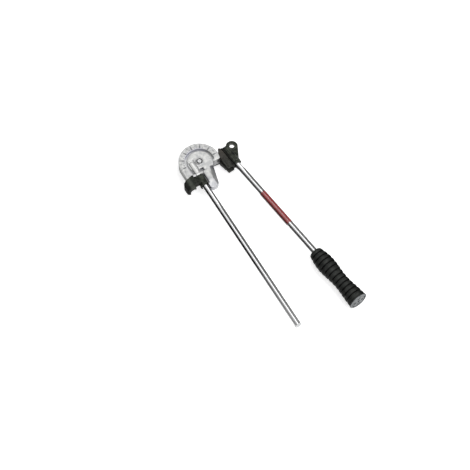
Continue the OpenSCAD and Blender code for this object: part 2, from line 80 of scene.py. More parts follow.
# %% Place the camera
lens_mm, sensor_mm = 120.0, 36.0
nearest, farthest = 0.05, 30.0
camera_at = Vector((1.4258, -0.7455, 2.5321))
azimuth, elevation = np.radians(-30.02), np.radians(60.2)
outwards = np.cos(elevation)
away = Vector((np.cos(azimuth) * outwards, np.sin(azimuth) * outwards, np.sin(elevation)))
camera_data = bpy.data.cameras.new("photo_camera")
camera_data.lens, camera_data.sensor_width = lens_mm, sensor_mm
camera_data.clip_start, camera_data.clip_end = nearest, farthest
camera = bpy.data.objects.new("photo_camera", camera_data)
camera.location = camera_at
camera.rotation_euler = (-away).to_track_quat("-Z", "Y").to_euler()
scene.collection.objects.link(camera)
scene.camera = camera
print("camera distance", round(camera_at.length, 3), "m")

# %% [markdown]
# ## Floor
# A sheet of white paper lies just under the grip, the lowest piece. Lamps that make paper pure white would bleach
# the object too. So the paper glows a little, but only for rays that look at it, straight or in a reflection, and
# it still shows the object's shadow. All materials here are node trees, so a few helpers come first.

# %% Node helpers
def add(tree, kind, **settings):
    """A new shader node of a kind, with its settings."""
    made = tree.nodes.new("ShaderNode" + kind)
    for label, value in settings.items():
        setattr(made, label, value)
    return made


def feed(tree, value, socket):
    """Links a socket to another one, or sets it to a number, a vector or a colour."""
    if isinstance(value, bpy.types.NodeSocket):
        tree.links.new(value, socket)
    elif socket.type == "RGBA":
        socket.default_value = (*value, 1.0)
    else:
        socket.default_value = value


def maths(tree, operation, a, b):
    """A number worked out from two others, each a socket or a number."""
    made = add(tree, "Math", operation=operation)
    feed(tree, a, made.inputs[0])
    feed(tree, b, made.inputs[1])
    return made.outputs[0]


def times(tree, a, b):
    """a times b."""
    return maths(tree, "MULTIPLY", a, b)


def bare_tree(owner):
    """The emptied node tree of a material or a world."""
    owner.use_nodes = True
    owner.node_tree.nodes.clear()
    return owner.node_tree


def seen_directly(tree):
    """1 where a camera, mirror or glass ray looks, and 0 for light that falls on the object."""
    path = add(tree, "LightPath")
    looked_at = maths(tree, "MAXIMUM", path.outputs["Is Camera Ray"], path.outputs["Is Glossy Ray"])
    return maths(tree, "MAXIMUM", looked_at, path.outputs["Is Transmission Ray"])


print("node helpers", [helper.__name__ for helper in (add, feed, maths, times, bare_tree, seen_directly)])

# %% Paper floor
floor_z = cad_box[0][2] - 0.6 * MM
floor_half, paper_white, paper_glow = 6.0, 0.9, 0.62


def flat_sheet(name, corners):
    """A flat four-sided sheet of the stage, through four corner points."""
    mesh = bpy.data.meshes.new(name)
    mesh.from_pydata([tuple(c) for c in corners], [], [(0, 1, 2, 3)])
    sheet = bpy.data.objects.new(name, mesh)
    scene.collection.objects.link(sheet)
    return sheet


signs = ((-1, -1), (1, -1), (1, 1), (-1, 1))
floor = flat_sheet("floor", [(x * floor_half, y * floor_half, floor_z) for x, y in signs])
paper = bpy.data.materials.new("white_paper")
tree = bare_tree(paper)
matt, glow, both = add(tree, "BsdfDiffuse"), add(tree, "Emission"), add(tree, "AddShader")
feed(tree, (paper_white,) * 3, matt.inputs["Color"])
feed(tree, times(tree, seen_directly(tree), paper_glow), glow.inputs["Strength"])
feed(tree, matt.outputs[0], both.inputs[0])
feed(tree, glow.outputs[0], both.inputs[1])
feed(tree, both.outputs[0], add(tree, "OutputMaterial").inputs["Surface"])
floor.data.materials.append(paper)
print("floor at", round(floor_z / MM, 2), "mm")

# %% [markdown]
# ## Room and lamps
# The camera sees a white room. Reflections see one that is white above and grey towards the horizon, like a
# studio's walls, so that bright metal keeps its form. On the object the room gives only a weak, even light. Two
# soft lamps do the rest: a large one overhead, on the lever's side, so that walls which face the other way fall
# into soft shade, and a smaller one beyond the ends of the handles. One bright sky would be simpler, but flatter.

# %% Room
room_light, wall_grey, wall_low, wall_high = 0.34, 0.28, 0.30, 0.70


def span(tree, value, low, high, to_low=0.0, to_high=1.0):
    """The value's span low to high, spread over to_low to to_high and clamped. Each is a socket or a number."""
    made = add(tree, "MapRange")
    ends = {"Value": value, "From Min": low, "From Max": high, "To Min": to_low, "To Max": to_high}
    for label, end in ends.items():
        feed(tree, end, made.inputs[label])
    return made.outputs["Result"]


world = bpy.data.worlds.new("white_room")
scene.world = world
tree = bare_tree(world)
way = add(tree, "SeparateXYZ")
feed(tree, add(tree, "TexCoord").outputs["Generated"], way.inputs["Vector"])
walls = span(tree, way.outputs["Z"], wall_low, wall_high, wall_grey, 1.0)
shown = maths(tree, "MAXIMUM", walls, add(tree, "LightPath").outputs["Is Camera Ray"])
sky = add(tree, "Background")
feed(tree, span(tree, seen_directly(tree), 0.0, 1.0, room_light, shown), sky.inputs["Strength"])
feed(tree, sky.outputs[0], add(tree, "OutputWorld").inputs["Surface"])
print("room light", room_light, "walls", wall_grey)

# %% Lamps
lit_middle = Vector((0.16, 0.02, 0.0))


def soft_lamp(name, at, size, watts):
    """A square area lamp that points at the middle of the object."""
    data = bpy.data.lights.new(name, "AREA")
    data.size, data.energy = size, watts
    lamp = bpy.data.objects.new(name, data)
    lamp.location = at
    lamp.rotation_euler = (lit_middle - Vector(at)).to_track_quat("-Z", "Y").to_euler()
    scene.collection.objects.link(lamp)
    return lamp


overhead = soft_lamp("overhead", at=(0.1, 1.15, 2.0), size=2.6, watts=37.0)
fill = soft_lamp("fill", at=(1.9, 0.15, 1.1), size=1.6, watts=22.0)
scene.view_settings.view_transform = "Standard"
print("lamps", overhead.name, fill.name)

# %% [markdown]
# ## Shared effects
# Several finishes need the same effects, so each effect is a node group with named inputs and outputs. The first
# rounds the sharp edges of the solids in the shading, finds them for wear, and finds the hollows, which the
# finishes darken with dirt and painted shade. The second gives a fine grain and soft clouds for castings, paint and
# mouldings.
# A ring and a fade mark places on a piece, for colours that differ there. The last gives long streaks for drawn
# tube.
# Image textures would be simpler, but nodes stay sharp at any distance, and Object coordinates keep them on a piece
# that moves.

# %% Group helpers
noise_roughness = 0.55


def new_group(name, inputs, outputs):
    """An empty shader group with number inputs, each with its first value, and outputs of given kinds."""
    tree = bpy.data.node_groups.new(name, "ShaderNodeTree")
    for label, value in inputs.items():
        socket = tree.interface.new_socket(name=label, in_out="INPUT", socket_type="NodeSocketFloat")
        socket.default_value = value
    for label, kind in outputs.items():
        tree.interface.new_socket(name=label, in_out="OUTPUT", socket_type="NodeSocket" + kind)
    return tree, tree.nodes.new("NodeGroupInput").outputs, tree.nodes.new("NodeGroupOutput").inputs


def own_place(tree):
    """The object's own coordinates."""
    return add(tree, "TexCoord").outputs["Object"]


def noise(tree, place, scale, detail):
    """A noise texture at a place. The scale is a socket or a number."""
    made = add(tree, "TexNoise")
    values = {"Vector": place, "Scale": scale, "Detail": detail, "Roughness": noise_roughness}
    for label, value in values.items():
        feed(tree, value, made.inputs[label])
    return made.outputs["Fac"]


def vectors(tree, operation, *values):
    """The outputs of a vector maths node on sockets or vectors."""
    made = add(tree, "VectorMath", operation=operation)
    for value, socket in zip(values, made.inputs):
        feed(tree, value, socket)
    return made.outputs


print("group helpers", [helper.__name__ for helper in (new_group, own_place, noise, vectors)])

# %% Group of edges and hollows
bevel_samples, shade_samples = 6, 8
edge_starts, edge_full = 0.985, 0.86  # cosine of the angle between the rounded normal and the flat one
ragged_scale, ragged_detail, ragged_span = 240.0, 4.0, (0.38, 0.62)
open_share = 0.93  # a place more open than this is no hollow
edge_group, given, gives = new_group(
    "edges_and_hollows",
    {"Radius": 0.5 * MM, "Reach": 4 * MM, "Deep": 0.3},
    {"Edge": "Float", "Hollow": "Float", "Normal": "Vector"},
)
tree = edge_group
rounder = add(tree, "Bevel", samples=bevel_samples)
feed(tree, given["Radius"], rounder.inputs["Radius"])
rounded = rounder.outputs["Normal"]
likeness = vectors(tree, "DOT_PRODUCT", rounded, add(tree, "NewGeometry").outputs["Normal"])["Value"]
ragged = span(tree, noise(tree, own_place(tree), ragged_scale, ragged_detail), *ragged_span)
feed(tree, times(tree, span(tree, likeness, edge_starts, edge_full), ragged), gives["Edge"])
feed(tree, rounded, gives["Normal"])
shade = add(tree, "AmbientOcclusion", samples=shade_samples)
feed(tree, given["Reach"], shade.inputs["Distance"])
feed(tree, span(tree, shade.outputs["AO"], open_share, given["Deep"]), gives["Hollow"])
print("group", edge_group.name)

# %% Group of grain and clouds
grain_detail, cloud_detail = 3.0, 4.0
cloud_span, blotch_span, pit_span = (0.3, 0.7), (0.42, 0.62), (0.66, 0.74)
grain_group, given, gives = new_group(
    "grain_and_clouds",
    {"Grain scale": 900.0, "Cloud scale": 40.0},
    {label: "Float" for label in ("Grain", "Clouds", "Blotches", "Pits")},
)
tree = grain_group
grain = noise(tree, own_place(tree), given["Grain scale"], grain_detail)
clouds = noise(tree, own_place(tree), given["Cloud scale"], cloud_detail)
feed(tree, grain, gives["Grain"])
feed(tree, span(tree, clouds, *cloud_span), gives["Clouds"])
feed(tree, span(tree, clouds, *blotch_span), gives["Blotches"])
feed(tree, span(tree, grain, *pit_span), gives["Pits"])
print("group", grain_group.name)

# %% Group of a ring round an upright axis
ring_group, given, gives = new_group(
    "ring_round_axis",
    {"Inner": 4 * MM, "Outer": 6 * MM, "Blur": 0.8 * MM, "X": 0.0, "Y": 0.0},
    {"Ring": "Float"},
)
tree = ring_group
centre = add(tree, "CombineXYZ")
for axis in "XY":
    feed(tree, given[axis], centre.inputs[axis])
from_centre = vectors(tree, "SUBTRACT", own_place(tree), centre.outputs["Vector"])["Vector"]
flattened = vectors(tree, "MULTIPLY", from_centre, (1.0, 1.0, 0.0))["Vector"]
radius = vectors(tree, "LENGTH", flattened)["Value"]
past_inner = span(tree, maths(tree, "SUBTRACT", radius, given["Inner"]), 0.0, given["Blur"])
before_outer = span(tree, maths(tree, "SUBTRACT", given["Outer"], radius), 0.0, given["Blur"])
feed(tree, times(tree, past_inner, before_outer), gives["Ring"])
print("group", ring_group.name)

# %% Group of a fade along a direction
fade_group, given, gives = new_group(
    "fade_along",
    {"X": 0.0, "Y": 0.0, "Z": 0.0, "Low": 0.0, "High": 10 * MM, "Share": 1.0},
    {"Fade": "Float"},
)
tree = fade_group
heading = add(tree, "CombineXYZ")
for axis in "XYZ":
    feed(tree, given[axis], heading.inputs[axis])
reached = vectors(tree, "DOT_PRODUCT", own_place(tree), heading.outputs["Vector"])["Value"]
feed(tree, span(tree, reached, given["Low"], given["High"], 0.0, given["Share"]), gives["Fade"])
print("group", fade_group.name)

# %% Group of streaks along a drawn tube
streak_scales = (6.0, 900.0, 900.0)  # long along the tube, fine across it
streak_detail, streak_span = 3.0, (0.3, 0.7)
haze_scale, haze_detail, haze_span = 30.0, 4.0, (0.32, 0.68)
streak_group, given, gives = new_group(
    "drawn_streaks", {"Turn": 0.0}, {"Streaks": "Float", "Clouds": "Float"},
)
tree = streak_group
turned = add(tree, "VectorRotate", rotation_type="Z_AXIS")
feed(tree, own_place(tree), turned.inputs["Vector"])
feed(tree, given["Turn"], turned.inputs["Angle"])
stretched = add(tree, "Mapping")
feed(tree, turned.outputs["Vector"], stretched.inputs["Vector"])
feed(tree, streak_scales, stretched.inputs["Scale"])
streaks = noise(tree, stretched.outputs["Vector"], 1.0, streak_detail)
haze = noise(tree, own_place(tree), haze_scale, haze_detail)
feed(tree, span(tree, streaks, *streak_span), gives["Streaks"])
feed(tree, span(tree, haze, *haze_span), gives["Clouds"])
print("group", streak_group.name)

# %% [markdown]
# ## Finishes
# Each finish is one Principled shader. Two colours mixed by the clouds keep a surface from looking flat, the grain
# drives roughness and bump, and the edges get the colour that wear brings out: bright metal under paint, a paler
# skin on rubber and plastic. Every finish could be built by hand, but one builder keeps them alike and short.

# %% Parts of a finish
def blend_colours(tree, factor, a, b):
    """Colour a where factor is 0 and b where it is 1. a and b are sockets or colours."""
    mix = add(tree, "Mix", data_type="RGBA")
    for value, number in ((factor, 0), (a, 6), (b, 7)):  # a Mix node has its colours in inputs 6 and 7
        feed(tree, value, mix.inputs[number])
    return mix.outputs[2]


def placed(tree, group, **values):
    """The outputs of a placed group with its inputs set: underscores in a name stand for spaces."""
    made = add(tree, "Group", node_tree=group)
    for label, value in values.items():
        made.inputs[label.replace("_", " ")].default_value = value
    return made.outputs


def raised(tree, height, depth, strength, normal=None):
    """A bumped normal: the height's socket, its depth in metres and its strength, over another normal."""
    bump = add(tree, "Bump")
    for label, value in {"Height": height, "Distance": depth, "Strength": strength}.items():
        feed(tree, value, bump.inputs[label])
    if normal:
        feed(tree, normal, bump.inputs["Normal"])
    return bump.outputs["Normal"]


def dimmed(colour, share):
    """A darker shade of a colour."""
    return tuple(share * c for c in colour)


def new_finish(name):
    """A new material, its tree and the inputs of its Principled shader."""
    made = bpy.data.materials.new(name)
    made.use_nodes = True
    return made, made.node_tree, made.node_tree.nodes["Principled BSDF"].inputs


print("parts of a finish", [part.__name__ for part in (blend_colours, placed, raised, dimmed, new_finish)])

# %% Finish builder
pit_shade, hollow_dim, lump_strength, grain_strength, grain_span = 0.45, 0.3, 1.0, 0.6, (0.3, 0.7)


def finish(
    name, dark, light, worn, rough, grain, clouds, bump, edge, edge_share, metal=0.0, gloss=0.5,
    pits=0.0, lumps=0.0, dirt_and_shade=None, hollow_share=0.6, reach=3 * MM, deep=0.3,
):
    """A grained finish: two body colours, a worn edge colour and a span of roughness.

    grain and clouds are texture scales, bump is the grain's depth, edge the radius of the rounded edges, and
    edge_share how much wear shows on them. pits is the share of dark pores, and lumps the depth of the broad
    unevenness of a sand mould. The last four set the hollows: the colour that fills them, partly dirt and partly
    painted shade, its share, reach how far a hollow is felt, and deep how open a hollow may be and still be filled
    in full."""
    made, tree, shader = new_finish(name)
    edges = placed(tree, edge_group, Radius=edge, Reach=reach, Deep=deep)
    spots = placed(tree, grain_group, Grain_scale=grain, Cloud_scale=clouds)
    colour = blend_colours(tree, spots["Blotches" if lumps else "Clouds"], dark, light)
    if pits:
        colour = blend_colours(tree, times(tree, spots["Pits"], pits), colour, dimmed(dark, pit_shade))
    # The hollows that ambient occlusion finds take a darker colour: partly dirt, partly painted shade.
    hollow_colour = dirt_and_shade or dimmed(dark, hollow_dim)
    colour = blend_colours(tree, times(tree, edges["Hollow"], hollow_share), colour, hollow_colour)
    colour = blend_colours(tree, times(tree, edges["Edge"], edge_share), colour, worn)
    normal = edges["Normal"]
    if lumps:
        normal = raised(tree, spots["Clouds"], lumps, lump_strength, normal)
    feed(tree, colour, shader["Base Color"])
    feed(tree, span(tree, spots["Grain"], *grain_span, *rough), shader["Roughness"])
    feed(tree, raised(tree, spots["Grain"], bump, grain_strength, normal), shader["Normal"])
    shader["Metallic"].default_value = metal
    shader["Specular IOR Level"].default_value = gloss
    return made


print("builder", finish.__name__)

# %% [markdown]
# ## Casting, paint and shoe
# The former is a satin casting, slightly lumpy and pitted, whose hollows turn bluish grey: partly oxide, partly
# painted shade. The hook, the arm and the lever head are castings under black paint with little gloss, and the shoe
# is a matt moulding; both go near black in their hollows, which is painted shade. Their lumps are real unevenness
# of the mould, so they come from bump, and the colour follows them.

# %% Casting, paint and shoe
near_black = (0.0005,) * 3
# Bluish grey in the hollows: oxide and painted shade.
cast_alloy = finish(
    "cast_alloy", dark=(0.455, 0.46, 0.458), light=(0.625, 0.625, 0.61), worn=(0.86, 0.86, 0.84),
    rough=(0.34, 0.50), metal=0.65, edge=2.0 * MM, edge_share=0.35, grain=1300.0, clouds=130.0,
    bump=0.12 * MM, lumps=0.12 * MM, pits=0.35, dirt_and_shade=(0.20, 0.205, 0.245),
)
# Near black in the hollows, for this finish and the shoe's: painted shade.
black_paint = finish(
    "black_paint", dark=(0.020, 0.0230, 0.0178), light=(0.060, 0.0665, 0.0530), worn=(0.20, 0.21, 0.18),
    rough=(0.34, 0.52), gloss=0.08, edge=1.4 * MM, edge_share=0.8, grain=1500.0, clouds=210.0,
    bump=0.10 * MM, lumps=0.4 * MM, dirt_and_shade=near_black, hollow_share=1.0, deep=0.66,
)
shoe_moulding = finish(
    "shoe_moulding", dark=(0.026, 0.0262, 0.0230), light=(0.058, 0.059, 0.052), worn=(0.19, 0.185, 0.16),
    rough=(0.40, 0.60), gloss=0.08, edge=1.4 * MM, edge_share=0.8, grain=1200.0, clouds=210.0,
    bump=0.10 * MM, lumps=0.4 * MM, dirt_and_shade=near_black, hollow_share=1.0, deep=0.66,
)
print("finishes", cast_alloy.name, black_paint.name, shoe_moulding.name)

# %% [markdown]
# ## Rubber, plastic, film and paint of the marks
# The grip is black rubber whose grooves are darkened with painted shade, its cap and the other handle's plug are
# grey plastic with painted shade in the cap's pockets, and a glossy red film is wound round the lever. The film's
# gloss could come from a low roughness alone, but a clear coat over the red is truer. It is set on the shader's own
# sockets. The marks are dull paint, rolled on thinly.

# %% Rubber, plastic, film and mark paint
moulded = dict(edge=0.6 * MM, edge_share=0.6, grain=1100.0, clouds=150.0, bump=0.05 * MM, gloss=0.3)
# Near black in the grooves: painted shade.
grip_rubber = finish(
    "grip_rubber", dark=(0.024, 0.0258, 0.024), light=(0.046, 0.0486, 0.0454), worn=(0.07, 0.073, 0.069),
    rough=(0.36, 0.52), gloss=0.10, edge=0.6 * MM, edge_share=0.5, grain=1700.0, clouds=150.0,
    bump=0.10 * MM, dirt_and_shade=(0.0008,) * 3, hollow_share=1.0, reach=4 * MM, deep=0.6,
)
# Darker in the pockets and hollows: painted shade.
cap_plastic = finish(
    "cap_plastic", dark=(0.125, 0.133, 0.138), light=(0.215, 0.225, 0.231), worn=(0.29, 0.297, 0.300),
    rough=(0.32, 0.46), dirt_and_shade=(0.015, 0.016, 0.018), hollow_share=0.9, reach=4 * MM, deep=0.55, **moulded,
)
plug_plastic = finish(
    "plug_plastic", dark=(0.60, 0.61, 0.61), light=(0.72, 0.73, 0.73), worn=(0.85, 0.85, 0.85),
    rough=(0.30, 0.45), **moulded,
)
label_film = finish(
    "label_film", dark=(0.24, 0.022, 0.024), light=(0.34, 0.034, 0.036), worn=(0.60, 0.36, 0.35),
    rough=(0.12, 0.22), gloss=1.0, edge=0.2 * MM, edge_share=0.5, grain=700.0, clouds=60.0, bump=0.02 * MM,
)
film_shader = label_film.node_tree.nodes["Principled BSDF"].inputs
for label, value in {"Coat Weight": 0.8, "Coat IOR": 1.8, "Coat Roughness": 0.14}.items():
    film_shader[label].default_value = value
mark_paint = finish(
    "mark_paint", dark=(0.09, 0.09, 0.10), light=(0.16, 0.16, 0.17), worn=(0.28, 0.28, 0.29),
    rough=(0.45, 0.6), edge=0.1 * MM, edge_share=0.3, grain=1500.0, clouds=220.0, bump=0.02 * MM,
)
print("finishes", grip_rubber.name, cap_plastic.name, plug_plastic.name, label_film.name, mark_paint.name)

# %% [markdown]
# ## Bare metals
# Screws and pins are dark oiled steel, the pivot pin and its washer are turned, and bush and thrust washer are
# sintered bronze. The handles are plated tube, drawn through a die, which leaves long fine streaks. Each tube has
# its own material, because the streaks follow the tube and the lever lies at an angle.

# %% Bare metals
dark_steel = finish(
    "dark_steel", dark=(0.10, 0.10, 0.105), light=(0.19, 0.19, 0.195), worn=(0.45, 0.45, 0.45),
    rough=(0.28, 0.44), metal=1.0, edge=0.3 * MM, edge_share=0.7, grain=1600.0, clouds=200.0, bump=0.04 * MM,
)
turned_steel = finish(
    "turned_steel", dark=(0.52, 0.525, 0.53), light=(0.66, 0.665, 0.67), worn=(0.85, 0.85, 0.85),
    rough=(0.20, 0.34), metal=1.0, edge=0.4 * MM, edge_share=0.6, grain=1500.0, clouds=160.0, bump=0.04 * MM,
)
sintered_bronze = finish(
    "sintered_bronze", dark=(0.40, 0.26, 0.12), light=(0.56, 0.38, 0.18), worn=(0.72, 0.55, 0.30),
    rough=(0.36, 0.50), metal=1.0, edge=0.3 * MM, edge_share=0.5, grain=1900.0, clouds=150.0, bump=0.05 * MM,
)
print("finishes", dark_steel.name, turned_steel.name, sintered_bronze.name)

# %% Plated tubes
plate_dark, plate_light, plate_rough = (0.66, 0.665, 0.67), (0.82,) * 3, (0.10, 0.22)
streak_depth, streak_strength = 0.02 * MM, 0.25


def drawn_tube(name, turn):
    """A plated drawn tube, turned about Z: long streaks in colour and bump, clouds in roughness."""
    made, tree, shader = new_finish(name)
    lines = placed(tree, streak_group, Turn=turn)
    feed(tree, blend_colours(tree, lines["Streaks"], plate_dark, plate_light), shader["Base Color"])
    feed(tree, span(tree, lines["Clouds"], 0.0, 1.0, *plate_rough), shader["Roughness"])
    feed(tree, raised(tree, lines["Streaks"], streak_depth, streak_strength), shader["Normal"])
    shader["Metallic"].default_value = 1.0
    return made


plated_fixed = drawn_tube("plated_fixed", 0.0)
plated_lever = drawn_tube("plated_lever", -float(lever_rest))
print("finishes", plated_fixed.name, plated_lever.name)

# %% [markdown]
# ## Worn and dirty places, painted light and shade
# Some places differ from the rest of their piece. A few are real: a hook worn pale on its crown, the bare bore of
# the eye, the shoe's brown toe, grime in the seams of the lever head and grease round the pin. The rest are painted
# light and shade: painted shade on the film's and the grip's sides, on the hook, under the lug, in the seams and in
# the former's corners, painted light on the former's recess wall and valley, and a painted highlight on the boss's
# crest, which is partly polish, and on the hook's crown. Each is a colour blended over the finish by a mask.
# Painting them by hand would need an image, so the masks are fades and rings in the object's own space.

# %% Masks
off_lever = {"X": -lever_sin, "Y": lever_cos}  # the level direction across the lever


def along(way, low, high, share=1.0):
    """A mask that grows from 0 to share between two distances in mm along a way, an axis or a direction."""
    heading = way if isinstance(way, dict) else {way: 1.0}

    def mask(tree):
        return placed(tree, fade_group, Low=low * MM, High=high * MM, Share=share, **heading)["Fade"]
    return mask


def ringed(inner, outer, share, centre=(0.0, 0.0), blur=0.8):
    """A mask of an upright ring, all in mm, round the bend axis or round another centre."""
    sizes = {"Inner": inner, "Outer": outer, "X": centre[0], "Y": centre[1], "Blur": blur}

    def mask(tree):
        ring = placed(tree, ring_group, **{label: size * MM for label, size in sizes.items()})
        return times(tree, ring["Ring"], share)
    return mask


def spot(centre, radius, share, blur=0.8):
    """A mask of an upright round spot: a ring whose inner side has shrunk to nothing."""
    return ringed(-2 * blur, radius, share, centre, blur)


def within(*masks):
    """A mask that holds only where all the given masks do."""
    def mask(tree):
        factor = masks[0](tree)
        for other in masks[1:]:
            factor = times(tree, factor, other(tree))
        return factor
    return mask


def band(way, low, high, blur, share=1.0):
    """A mask of the band between two distances in mm along a way."""
    return within(along(way, low, low + blur), along(way, high, high - blur, share))


print("masks", [mask.__name__ for mask in (along, ringed, spot, within, band)])

# %% Places on the black pieces and the film
# Painted shade: for the black paint, near black for corners, and for the rubber. The seam's colour is grime and
# painted shade.
painted_shade_black, deep_painted_shade, painted_shade_rubber = (0.004, 0.0048, 0.004), (0.003, 0.0035, 0.003), (0.003,) * 3
seam_grime_and_shade = (0.003, 0.0032, 0.003)
head_seam = within(band("Y", 49.0, 56.5, 1.8), along("X", 44.0, 41.0, 0.68))


def recolour(places):
    """Blends colours over finishes: each named place gives a material, a colour and a mask."""
    for material, colour, mask in places.values():
        tree = material.node_tree
        base = tree.nodes["Principled BSDF"].inputs["Base Color"]
        feed(tree, blend_colours(tree, mask(tree), base.links[0].from_socket, colour), base)
    print("recoloured", list(places))


recolour({
    # The film darkens below a stripe along its top: painted shade.
    "film, painted shade on all but its top": (label_film, (0.035, 0.012, 0.012), along("Z", 5.2, 4.3, 0.8)),
    # The hook's outer wall and middle are darkened: painted shade.
    "hook, outer wall in painted shade": (black_paint, painted_shade_black, along("Y", -40.0, -47.5, 0.88)),
    "hook, middle in painted shade": (black_paint, painted_shade_black, band("Y", -34.5, -16.5, 4.0, 0.45)),
    # Near black on the hook's side towards the lever: painted shade.
    "hook, side towards the lever in painted shade": (black_paint, deep_painted_shade, band("Y", -10.0, -3.0, 2.0, 0.8)),
    # Paler on top: partly wear, partly a painted highlight.
    "hook, worn crown and painted highlight": (
        black_paint, (0.090, 0.098, 0.083), within(band("Y", -45.5, -34.5, 3.0), along("Z", 10.5, 12.5, 0.5)),
    ),
    "head, bare bore of the eye": (black_paint, (0.30, 0.30, 0.29), spot((-3.095, 72.942), 5.3, 0.95)),
    # Near black in the corner under the lug: painted shade.
    "head, painted shade in the corner under the lug": (black_paint, deep_painted_shade, spot((16.5, 66.0), 6.2, 0.85, blur=3.0)),
    # Darker along the seam of head and shoe: grime and painted shade.
    "head, seam with grime and painted shade": (black_paint, seam_grime_and_shade, head_seam),
    "shoe, brown toe": (shoe_moulding, (0.080, 0.070, 0.062), along("X", 22.0, 6.0, 0.5)),
    "shoe, seam with grime and painted shade": (shoe_moulding, seam_grime_and_shade, head_seam),
    # The grip's sides are darkened: painted shade.
    "grip, painted shade on the side away from the other handle": (grip_rubber, painted_shade_rubber, along(off_lever, 56.5, 66.5, 0.72)),
    "grip, painted shade on the side towards it": (grip_rubber, painted_shade_rubber, along(off_lever, 52.0, 44.0, 0.40)),
})

# %% Places on the former and the pin
# Bluish grey painted shade for the former's corner and window. The pin's ring is grease and painted shade.
painted_shade_bluish, pin_grease_and_shade = (0.16, 0.165, 0.185), (0.05,) * 3
recolour({
    # Bluish and darker towards the tail's end: painted shade.
    "former, tail in bluish painted shade": (cast_alloy, (0.37, 0.375, 0.435), along("X", 35.0, 70.0, 0.5)),
    # Lighter and bluish on the left side of the recess wall: painted light.
    "former, painted light on the left wall of the recess": (
        cast_alloy, (0.60, 0.605, 0.68), within(ringed(27.4, 29.6, 0.75), along("X", -12.0, -22.0)),
    ),
    # Brighter along the boss's crest: partly polish, partly a painted highlight.
    "former, polished crest and painted highlight of the boss": (
        cast_alloy, (0.80, 0.80, 0.78),
        within(band("Y", -20.0, -12.8, 1.0), band("X", -10.0, 30.0, 2.0), along("Z", 4.0, 6.0, 0.7)),
    ),
    # Lighter low in the valley: painted light.
    "former, painted light in the valley beside the boss": (
        cast_alloy, (0.66, 0.66, 0.67),
        within(band("Y", -30.0, -20.8, 0.8), band("X", -12.0, 30.0, 4.0), along("Z", 0.0, 2.0, 0.7)),
    ),
    # A dark line at the foot of the boss: painted shadow.
    "former, painted shadow line between them": (
        cast_alloy, (0.07, 0.08, 0.07),
        within(band("Y", -21.6, -19.2, 0.8), band("X", -8.0, 30.0, 2.0), along("Z", 2.0, 4.0, 0.75)),
    ),
    # The wall in the corner at the tongue is darkened: painted shade.
    "former, painted shade in the corner at the tongue": (
        cast_alloy, painted_shade_bluish,
        within(along("X", 12.0, 14.0), along("X", 52.0, 24.0), along("Y", 10.0, 15.0), along("Z", 8.4, 6.0, 0.8)),
    ),
    # The window's floor is darkened: painted shade.
    "former, painted shade on the floor of the window": (
        cast_alloy, painted_shade_bluish,
        within(band("X", 14.0, 22.5, 0.4), band("Y", -8.4, -0.2, 0.4), along("Z", 8.9, 8.0, 0.6)),
    ),
    # A dark ring round the pin: grease and painted shade.
    "former, grease and painted shade at the seat of the pin": (cast_alloy, pin_grease_and_shade, ringed(5.0, 6.0, 0.3)),
    "pin, grease and painted shade round its head": (turned_steel, pin_grease_and_shade, ringed(3.0, 5.6, 0.7)),
})

# %% [markdown]
# ## Which piece wears which finish
# A node of the frame keeps its mesh and its place and only changes its material slot. The finish could be chosen
# by the record's slots, but a list by name lets two pieces of one slot differ, as the cap and the plug do.

# %% Put the finishes on
worn_by = {
    cast_alloy: ["bend_former"],
    black_paint: ["tube_hook", "hook_stop_ring", "swing_arm", "lever_head"],
    shoe_moulding: ["slide_shoe"],
    grip_rubber: ["lever_grip"],
    cap_plastic: ["grip_end_cap"],
    plug_plastic: ["fixed_end_plug"],
    label_film: ["label_band"],
    dark_steel: ["pivot_circlip", "fixed_roll_pin", "lever_roll_pin", "arm_screws", "shoe_screws"],
    turned_steel: ["pivot_pin", "retaining_washer"],
    sintered_bronze: ["thrust_washer", "arm_bush"],
    plated_fixed: ["fixed_handle_tube"],
    plated_lever: ["lever_handle_tube"],
}
for material, names in worn_by.items():
    for name in names:
        nodes[name].data.materials.clear()
        nodes[name].data.materials.append(material)
print("finished", sum(len(names) for names in worn_by.values()), "nodes")

# %% [markdown]
# ## Cards for the bright tubes
# Polished tubes on white would vanish. Darker metal would be simpler, but dull, so dark cards stand beside the
# handles, as a photographer would place them, and only reflections see them. The cards of the fixed handle grow
# paler towards its end, so its stripes fade there. The lever has a pair of cards where it rests and another where
# it points once it has swung round.

# %% Dark cards beside the handles
card_end, fade_from, fade_to = 420 * MM, 220 * MM, 375 * MM
unturned, half_turned = np.eye(2), -np.eye(2)


def card(name, turn, start, y, top, tone, end_tone=None):
    """An upright sheet along a handle, from the floor up to a height, at distance y from the bend axis."""
    flat = np.array([[start, y], [card_end, y]]) @ turn.T
    sheet = flat_sheet(name, [(*flat[0], floor_z), (*flat[1], floor_z), (*flat[1], top), (*flat[0], top)])
    paint, tree, shader = new_finish(name)
    grey = (tone,) * 3
    if end_tone:
        paler = placed(tree, fade_group, X=1.0, Low=fade_from, High=fade_to)["Fade"]
        grey = blend_colours(tree, paler, grey, (end_tone,) * 3)
    feed(tree, grey, shader["Base Color"])
    shader["Specular IOR Level"].default_value = 0.0
    sheet.data.materials.append(paint)
    for ray in ("camera", "diffuse", "shadow", "transmission"):
        setattr(sheet, "visible_" + ray, False)
    return sheet


